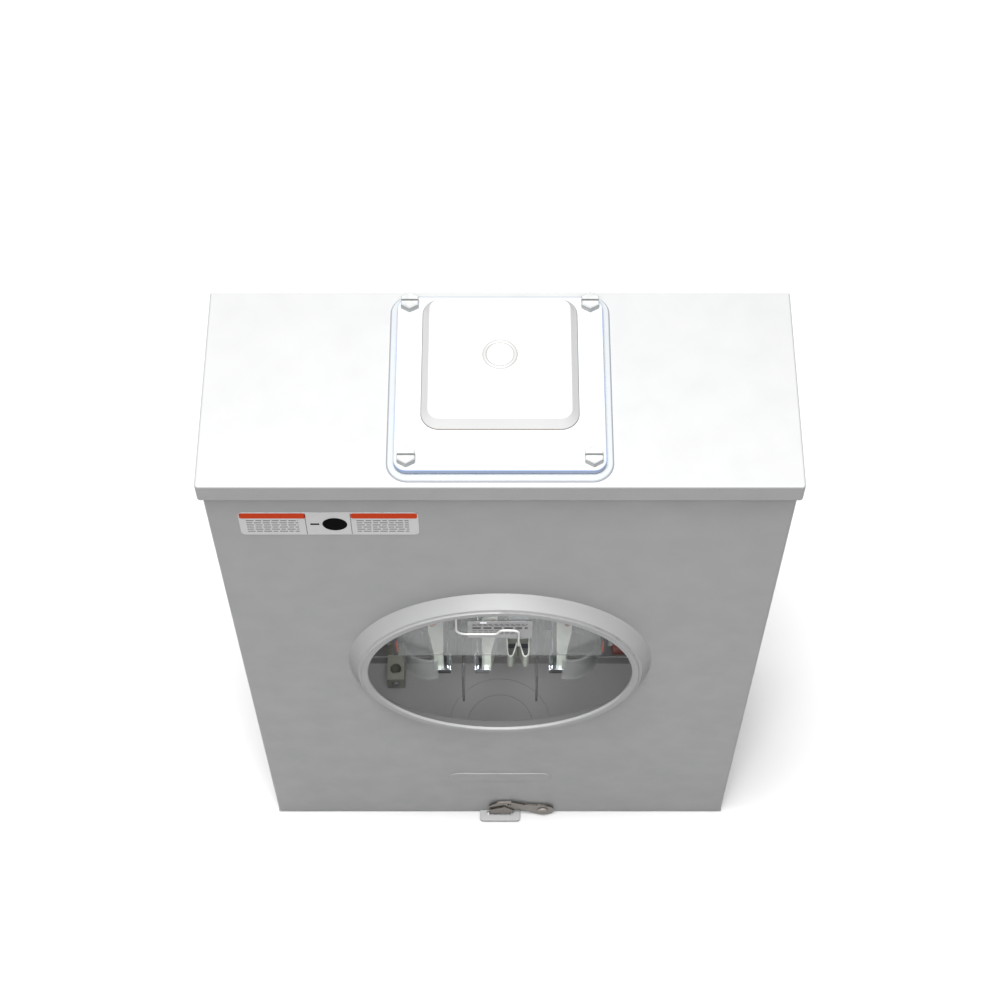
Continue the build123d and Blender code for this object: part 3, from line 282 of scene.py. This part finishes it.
def box_paint(name, colour, inside):
    """The box: painted light on the faces inside, a lighter grey that stands in for light there."""
    paint, coat = sprayed(name, colour)
    low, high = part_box("box_wrapper")
    across = paint.within("X", low.x + INSIDE_FROM, high.x - INSIDE_FROM)
    deep = paint.within("Y", low.y, -INSIDE_FROM)
    upright = paint.within("Z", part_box("bottom_wall")[0].z + INSIDE_FROM, high.z)
    inner = paint.both(paint.both(across, deep), upright)
    paint.colour(paint.mix(inner, coat, inside))
    return paint.material


def cover_paint(name, colour, inside):
    """The cover: painted shade, a dark grey, on the faces that look towards the wall."""
    paint, coat = sprayed(name, colour)
    paint.colour(paint.mix(paint.facing_back(), coat, inside))
    return paint.material


def hood_paint(name, colour, pad, foot_shade):
    """The hood: a bluish painted shade on the raised pad, and a line of painted shade round its foot.
    """
    paint, coat = sprayed(name, colour)
    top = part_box("top_hood")[1].z - PAD_RISE
    foot_shade_from, foot_shade_to = top + 0.05 * MM, top + 0.45 * MM
    coat = paint.mix(paint.within("Z", foot_shade_to, top + 2 * PAD_RISE), coat, pad)
    paint.colour(paint.mix(paint.within("Z", foot_shade_from, foot_shade_to), coat, foot_shade))
    return paint.material


def two_tone(name, colour, accent, x, y, z):
    """Moulded plastic with an accent colour inside a box, mirrored over x = 0."""
    plastic = Shader(name)
    spot = plastic.both(plastic.within("Y", *y), plastic.within("Z", *z))
    for side in (-1, 1):
        low, high = sorted((side * x[0], side * x[1]))
        edge = plastic.both(plastic.within("X", low, high), spot)
        colour = plastic.mix(edge, colour, accent)
    plastic.colour(colour)
    plastic.roughness(plastic.remap(plastic.noise(240.0), 0.4, 0.55))
    plastic.bump(plastic.noise(900.0, 2.0), 0.02 * MM, 0.6)
    return plastic.material


def brushed(name, colour, stretch, roughness=(0.25, 0.4)):
    """Metal with a directional grain."""
    metal = Shader(name, metallic=1.0)
    grain = metal.noise(1.0, 4.0, metal.stretched(stretch))
    metal.colour(metal.ramp(grain, [(0.25, shade(colour, 0.86)), (0.75, shade(colour, 1.06))]))
    metal.roughness(metal.remap(grain, *roughness))
    metal.bump(grain, 0.02 * MM, 0.4)
    metal.bump(metal.noise(220.0), 0.02 * MM, 0.3)
    return metal.material


def plated(name, colour, spots, roughness=(0.28, 0.45), metallic=1.0, slot=None):
    """Plated or cast metal with soft blotches and small pits, and painted shade between a slot's two
    heights.
    """
    metal = Shader(name, metallic=metallic)
    coat = metal.ramp(metal.noise(110.0, 5.0), [(0.3, spots), (0.62, colour)])
    if slot:
        # Painted shade on the floor of a slot.
        coat = metal.mix(metal.within("Z", *slot), coat, shade(colour, 0.3))
    metal.colour(coat)
    metal.roughness(metal.remap(metal.noise(320.0), *roughness))
    metal.bump(metal.noise(900.0), 0.015 * MM, 0.6)
    return metal.material


def galvanised(name):
    """Zinc spangle: flat crystals of slightly different grey."""
    zinc = Shader(name, metallic=0.85)
    crystals = zinc.cells(140.0)
    zinc.colour(zinc.ramp(crystals, [(0.1, (0.36, 0.38, 0.40)), (0.9, (0.60, 0.62, 0.64))]))
    zinc.roughness(zinc.remap(crystals, 0.35, 0.55))
    zinc.bump(zinc.noise(400.0), 0.02 * MM, 0.5)
    return zinc.material


def moulded(name, colour, roughness=(0.4, 0.55), grain=1200.0, depth=0.02):
    """Moulded plastic with a fine tool texture."""
    plastic = Shader(name)
    flow = plastic.noise(45.0, 4.0)
    plastic.colour(plastic.ramp(flow, [(0.3, shade(colour, 0.9)), (0.7, shade(colour, 1.08))]))
    plastic.roughness(plastic.remap(plastic.noise(240.0), *roughness))
    plastic.bump(plastic.noise(grain, 2.0), depth * MM, 0.6)
    return plastic.material


def hub_paint(name, pillow, bands):
    """The closing plate: a white pillow, and bands of other tones by height above the flange, most of
    them painted shade.
    """
    paint, coat = sprayed(name, pillow, (0.36, 0.46))
    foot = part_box("hub_closing_plate")[0].z + PLATE_THICK
    for low, high, tone in bands:
        coat = paint.mix(paint.within("Z", foot + low * MM, foot + high * MM), coat, tone)
    paint.colour(coat)
    return paint.material


def clear_plastic(name, tone, solid):
    """Thin clear sheet: nearly invisible face on, darker at a glancing angle."""
    clear = Shader(name, roughness=0.06, ior=1.585)
    tint = clear.noise(20.0, 3.0)
    body = clear.ramp(tint, [(0.3, shade(tone, 0.85)), (0.7, tone)])
    edge = clear.node("ShaderNodeLayerWeight", Blend=0.30)
    clear.colour(clear.mix(edge.outputs["Facing"], body, (0.06, 0.06, 0.06)))
    haze = clear.noise(35.0, 3.0)
    clear.roughness(clear.remap(haze, 0.04, 0.12))
    alpha = clear.node("ShaderNodeMapRange")
    alpha.inputs["To Min"].default_value = 0.13
    alpha.inputs["To Max"].default_value = solid
    clear.link(edge.outputs["Facing"], alpha.inputs["Value"])
    clear.link(alpha.outputs["Result"], clear.main.inputs["Alpha"])
    clear.bump(haze, 0.1 * MM, 0.2)
    return clear.material


def film(name, colour):
    """Printed label film."""
    label = Shader(name)
    label.colour(label.ramp(label.noise(90.0), [(0.3, shade(colour, 0.96)), (0.7, colour)]))
    label.roughness(label.remap(label.noise(400.0), 0.35, 0.5))
    label.bump(label.noise(500.0), 0.01 * MM, 0.5)
    return label.material


# ---------------------------------------------------------------- finishes
PAD_RISE = 1.2 * MM       # the hood's raised pad, over its top
PLATE_THICK = 3.7 * MM    # the hub plate's flange
INSIDE_FROM = 1.3 * MM    # a little less than the sheet's thickness
SLOT_FLOOR_BETWEEN = (1.6 * MM, 1.35 * MM)    # depths on both sides of the screw slots' floors, where shade is painted
SIDE_EDGE_X = (65.5 * MM, 66.8 * MM)          # the coloured front edge of each side plate
SIDE_EDGE_Y = (-106 * MM, -104 * MM)
SIDE_EDGE_Z = (-8 * MM, 8 * MM)
SCREW_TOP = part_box("hub_screws")[1].z
GREY = (0.177, 0.178, 0.179)
# A dark blue painted shade, for the hub plate's edge and the gasket.
EDGE_SHADE_BLUE = (0.18, 0.225, 0.335)
# The lighter grey inside the box is painted light.
BOX_PAINT = box_paint("box_powder_coat", GREY, (0.275, 0.275, 0.275))
# The dark grey on the cover's back faces is painted shade.
COVER_PAINT = cover_paint("cover_powder_coat", GREY, (0.10, 0.10, 0.10))
# The hood's pad tone and the line round the pad's foot are painted shade.
HOOD_PAINT = hood_paint("hood_powder_coat", GREY, (0.165, 0.174, 0.182), (0.10, 0.10, 0.12))
HUB_PAINT = hub_paint("hub_powder_coat", (0.275, 0.275, 0.275), [
    (-4.0, -0.12, EDGE_SHADE_BLUE),                   # painted shade on the flange's edge
    (-0.12, 0.1, (0.225, 0.235, 0.245)),        # its face
    (0.1, 0.7, (0.10, 0.09, 0.08)),             # painted shade in the crease round the pillow's foot
    (0.7, 5.7, (0.228, 0.228, 0.226)),          # painted shade on the pillow's flank
    (6.6, 9.0, (0.180, 0.180, 0.175)),          # painted shade on the small raised ring on it
])
# The screw slots' floors get painted shade.
ZINC = plated("zinc_plate", (0.265, 0.27, 0.27), (0.22, 0.225, 0.225), metallic=0.3,
              slot=[SCREW_TOP - depth for depth in SLOT_FLOOR_BETWEEN])
GALVANISED = galvanised("galvanised_steel")
STAINLESS = brushed("stainless_steel", (0.19, 0.172, 0.155), (300, 60, 1500))
RIVET_METAL = plated("rivet_metal", (0.20, 0.18, 0.165), (0.15, 0.14, 0.13), (0.6, 0.75), metallic=0.4)
THERMOSET = moulded("thermoset", (0.055, 0.060, 0.068))
TIN = plated("tin_plate", (0.60, 0.64, 0.58), (0.48, 0.52, 0.46), (0.35, 0.5), metallic=0.35)
SPRING = brushed("spring_steel", (0.66, 0.68, 0.72), (900, 100, 100), (0.12, 0.25))
LUG_METAL = plated("lug_aluminium", (0.70, 0.71, 0.72), (0.58, 0.59, 0.60))
DULL_METAL = plated("dull_aluminium", (0.30, 0.30, 0.26), (0.25, 0.25, 0.22), metallic=0.2)
DULL_TIN = plated("dull_tin_plate", (0.40, 0.42, 0.38), (0.30, 0.32, 0.29), (0.35, 0.5), metallic=0.35)
SET_SCREW = plated("set_screw", (0.30, 0.30, 0.31), (0.22, 0.22, 0.23), metallic=0.6)
COPPER = plated("copper", (0.78, 0.42, 0.32), (0.62, 0.30, 0.22), (0.2, 0.4))
WHITE_PVC = moulded("white_pvc", (0.50, 0.50, 0.49), (0.3, 0.4))
DARK_RED = moulded("dark_red_plastic", (0.11, 0.035, 0.03), (0.3, 0.42))
SIDE_PLATE = two_tone("side_plate_plastic", (0.060, 0.062, 0.066), (0.45, 0.09, 0.04),
                      SIDE_EDGE_X, SIDE_EDGE_Y, SIDE_EDGE_Z)
SHAFT_PLASTIC = moulded("shaft_plastic", (0.10, 0.10, 0.11))
CLEAR = clear_plastic("clear_polycarbonate", (0.47, 0.49, 0.49), 0.75)
SMOKED = clear_plastic("smoked_polycarbonate", (0.06, 0.06, 0.06), 0.95)
FILM = film("label_film", (0.325, 0.325, 0.325))
NAMEPLATE_FILM = film("nameplate_film", (0.27, 0.27, 0.275))
# The gasket's dark blue is painted shade, the same as the flange's edge.
GASKET = moulded("gasket_foam", EDGE_SHADE_BLUE, (0.8, 0.95), 600.0, 0.08)

FINISHES = {
    "box_wrapper": BOX_PAINT,
    "bottom_wall": BOX_PAINT,
    "bottom_knockouts": BOX_PAINT,
    "side_knockouts": BOX_PAINT,
    "top_hood": HOOD_PAINT,
    "front_cover": COVER_PAINT,
    "hub_closing_plate": HUB_PAINT,
    "hub_gasket": GASKET,
    "hub_screws": ZINC,
    "mounting_screws": ZINC,
    "bypass_lever": ZINC,
    "mounting_bracket": GALVANISED,
    "sealing_latch": STAINLESS,
    "latch_rivet": RIVET_METAL,
    "cover_label": FILM,
    "nameplate": NAMEPLATE_FILM,
    "neutral_insulator": THERMOSET,
    "neutral_jaw": DULL_TIN,
    "neutral_bar": LUG_METAL,
    "ground_lug": DULL_METAL,
    "lug_screws": SET_SCREW,
    "jaw_screws": COPPER,
    "neutral_jumper": WHITE_PVC,
    "bypass_shield": CLEAR,
    "clear_trough": SMOKED,
    "lever_grip": DARK_RED,
    "bypass_shaft": SHAFT_PLASTIC,
    **{f"insulator_{phase}": THERMOSET for phase in PHASES},
    **{f"{end}_jaw_{phase}": TIN for end in ENDS for phase in PHASES},
    **{f"{end}_spring_{phase}": SPRING for end in ENDS for phase in PHASES},
    **{f"{end}_lug_{phase}": LUG_METAL for end in ENDS for phase in PHASES},
    **{f"bypass_blade_{phase}": COPPER for phase in PHASES},
    **{f"clear_guard_{end}_{side}": CLEAR for end in ENDS for side in SIDES},
    **{f"bypass_plate_{side}": SIDE_PLATE for side in SIDES},
}


def dress_nodes():
    """Gives every CAD node its finish."""
    for name, material in FINISHES.items():
        slots = NODES[name].data.materials
        slots.clear()
        slots.append(material)


# ---------------------------------------------------------------- printed marks
INK = 0.04 * MM           # how far the ink stands off its film
CORNER_STEPS = 5
WORD_TURN = 1.7           # radians from one word to the next, for lengths that don't repeat


def ink(name, colour):
    """Printing ink, thin in places."""
    mark = Shader(name)
    mark.main.inputs["Specular IOR Level"].default_value = 0.0
    cover = mark.noise(900.0, 3.0)
    mark.colour(mark.ramp(cover, [(0.25, shade(colour, 1.25)), (0.6, colour)]))
    mark.roughness(mark.remap(mark.noise(300.0), 0.4, 0.55))
    mark.bump(cover, 0.01 * MM, 0.5)
    return mark.material


def bar(u0, v0, u1, v1, corner=0.0):
    """Outline of a bar, as (u, v) points. Its corners are round when a radius is given."""
    if not corner:
        return [(u0, v0), (u1, v0), (u1, v1), (u0, v1)]
    points = []
    corners = ((u1 - corner, v1 - corner, 0), (u0 + corner, v1 - corner, 90),
               (u0 + corner, v0 + corner, 180), (u1 - corner, v0 + corner, 270))
    for u, v, start in corners:
        for step in range(CORNER_STEPS + 1):
            angle = math.radians(start + 90 * step / CORNER_STEPS)
            points.append((u + corner * math.cos(angle), v + corner * math.sin(angle)))
    return points


def disc(u, v, radius, sides=28):
    """Outline of a disc, as (u, v) points."""
    turn = 2 * math.pi / sides
    return [(u + radius * math.cos(turn * i), v + radius * math.sin(turn * i)) for i in range(sides)]


def rules(u0, u1, rows, top, pitch, height, word, gap, phase):
    """Rows of short dashes standing for lines of small print, with uneven word lengths."""
    dashes = []
    for row in range(rows):
        v = top - row * pitch
        u = u0
        step = row + phase
        while u < u1:
            length = word * (0.5 + 0.5 * abs(math.sin(WORD_TURN * step)))
            dashes.append(bar(u, v - height, min(u + length, u1), v))
            u += length + gap
            step += 1
    return dashes


def printed(name, outlines, face, centre, body, material):
    """Raised ink on a face that looks along -Y. Outlines are in metres about the face's centre."""
    mesh = bmesh.new()
    for outline in outlines:
        rings = []
        for y in (face, face - INK):
            rings.append([mesh.verts.new((centre.x + u, y, centre.z + v)) for u, v in outline])
        mesh.faces.new(rings[1])
        mesh.faces.new(list(reversed(rings[0])))
        for i in range(len(outline)):
            j = (i + 1) % len(outline)
            mesh.faces.new((rings[0][i], rings[0][j], rings[1][j], rings[1][i]))
    bmesh.ops.recalc_face_normals(mesh, faces=mesh.faces)
    data = bpy.data.meshes.new(name)
    mesh.to_mesh(data)
    mesh.free()
    piece = bpy.data.objects.new(name, data)
    bpy.context.scene.collection.objects.link(piece)
    data.materials.append(material)
    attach(piece, body)


def print_cover_label():
    """Two header bars over rows of small print, and a middle field with a disc and a short bar."""
    low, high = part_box("cover_label")
    centre = (low + high) / 2
    half, tall = (high.x - low.x) / 2, (high.z - low.z) / 2
    face = low.y
    red = ink("header_ink", (0.32, 0.034, 0.012))
    grey = ink("small_print_ink", (0.11, 0.11, 0.11))
    black = ink("black_ink", (0.004, 0.004, 0.004))
    split = 0.25 * half       # half of the middle field
    margin = 0.6 * MM
    header_foot = tall - 6.4 * MM
    header_corner = 1.4 * MM
    bars = [bar(-half + margin, header_foot, -split, tall - margin, header_corner),
            bar(split, header_foot, half - margin, tall - margin, header_corner)]
    printed("label_headers", bars, face, centre, "cover", red)
    small = []
    for left, phase in ((-half + 4 * MM, 3), (split + 3 * MM, 8)):
        small += rules(left, left + 0.58 * half, rows=6, top=tall - 8.4 * MM, pitch=2.4 * MM,
                       height=0.9 * MM, word=4.5 * MM, gap=0.9 * MM, phase=phase)
    divider = 0.4 * MM
    for u in (-split - margin, split - divider):
        small.append(bar(u, -tall + margin, u + divider, tall - margin))
    printed("label_small_print", small, face, centre, "cover", grey)
    symbol = [disc(3.2 * MM, -0.5 * MM, 7.0 * MM), bar(-10.5 * MM, -1.2 * MM, -5.5 * MM, 0.4 * MM)]
    printed("label_symbol", symbol, face, centre, "cover", black)


def print_nameplate():
    """Three blocks of small print, the middle one larger, and a blank field above them."""
    low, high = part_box("nameplate")
    centre = (low + high) / 2
    half, tall = (high.x - low.x) / 2, (high.z - low.z) / 2
    grey = ink("nameplate_ink", (0.10, 0.10, 0.10))
    white = ink("nameplate_white", (0.85, 0.85, 0.85))
    left, right = -half + 3 * MM, half - 3 * MM
    small = rules(left, right, rows=2, top=tall - 3.6 * MM, pitch=1.8 * MM,
                  height=0.8 * MM, word=3.2 * MM, gap=0.8 * MM, phase=2)
    small += rules(left, right, rows=1, top=tall - 8.0 * MM, pitch=1.0 * MM,
                   height=2.6 * MM, word=6.0 * MM, gap=1.6 * MM, phase=5)
    small += rules(left, half - 10 * MM, rows=3, top=tall - 12.6 * MM, pitch=2.2 * MM,
                   height=0.8 * MM, word=3.2 * MM, gap=0.9 * MM, phase=7)
    printed("nameplate_print", small, low.y, centre, "enclosure", grey)
    field = [bar(-half + 8 * MM, tall - 2.9 * MM, -half + 12 * MM, tall - 1.0 * MM)]
    printed("nameplate_field", field, low.y, centre, "enclosure", white)


make_camera()
make_studio()
make_floor()
dress_nodes()
print_cover_label()
print_nameplate()
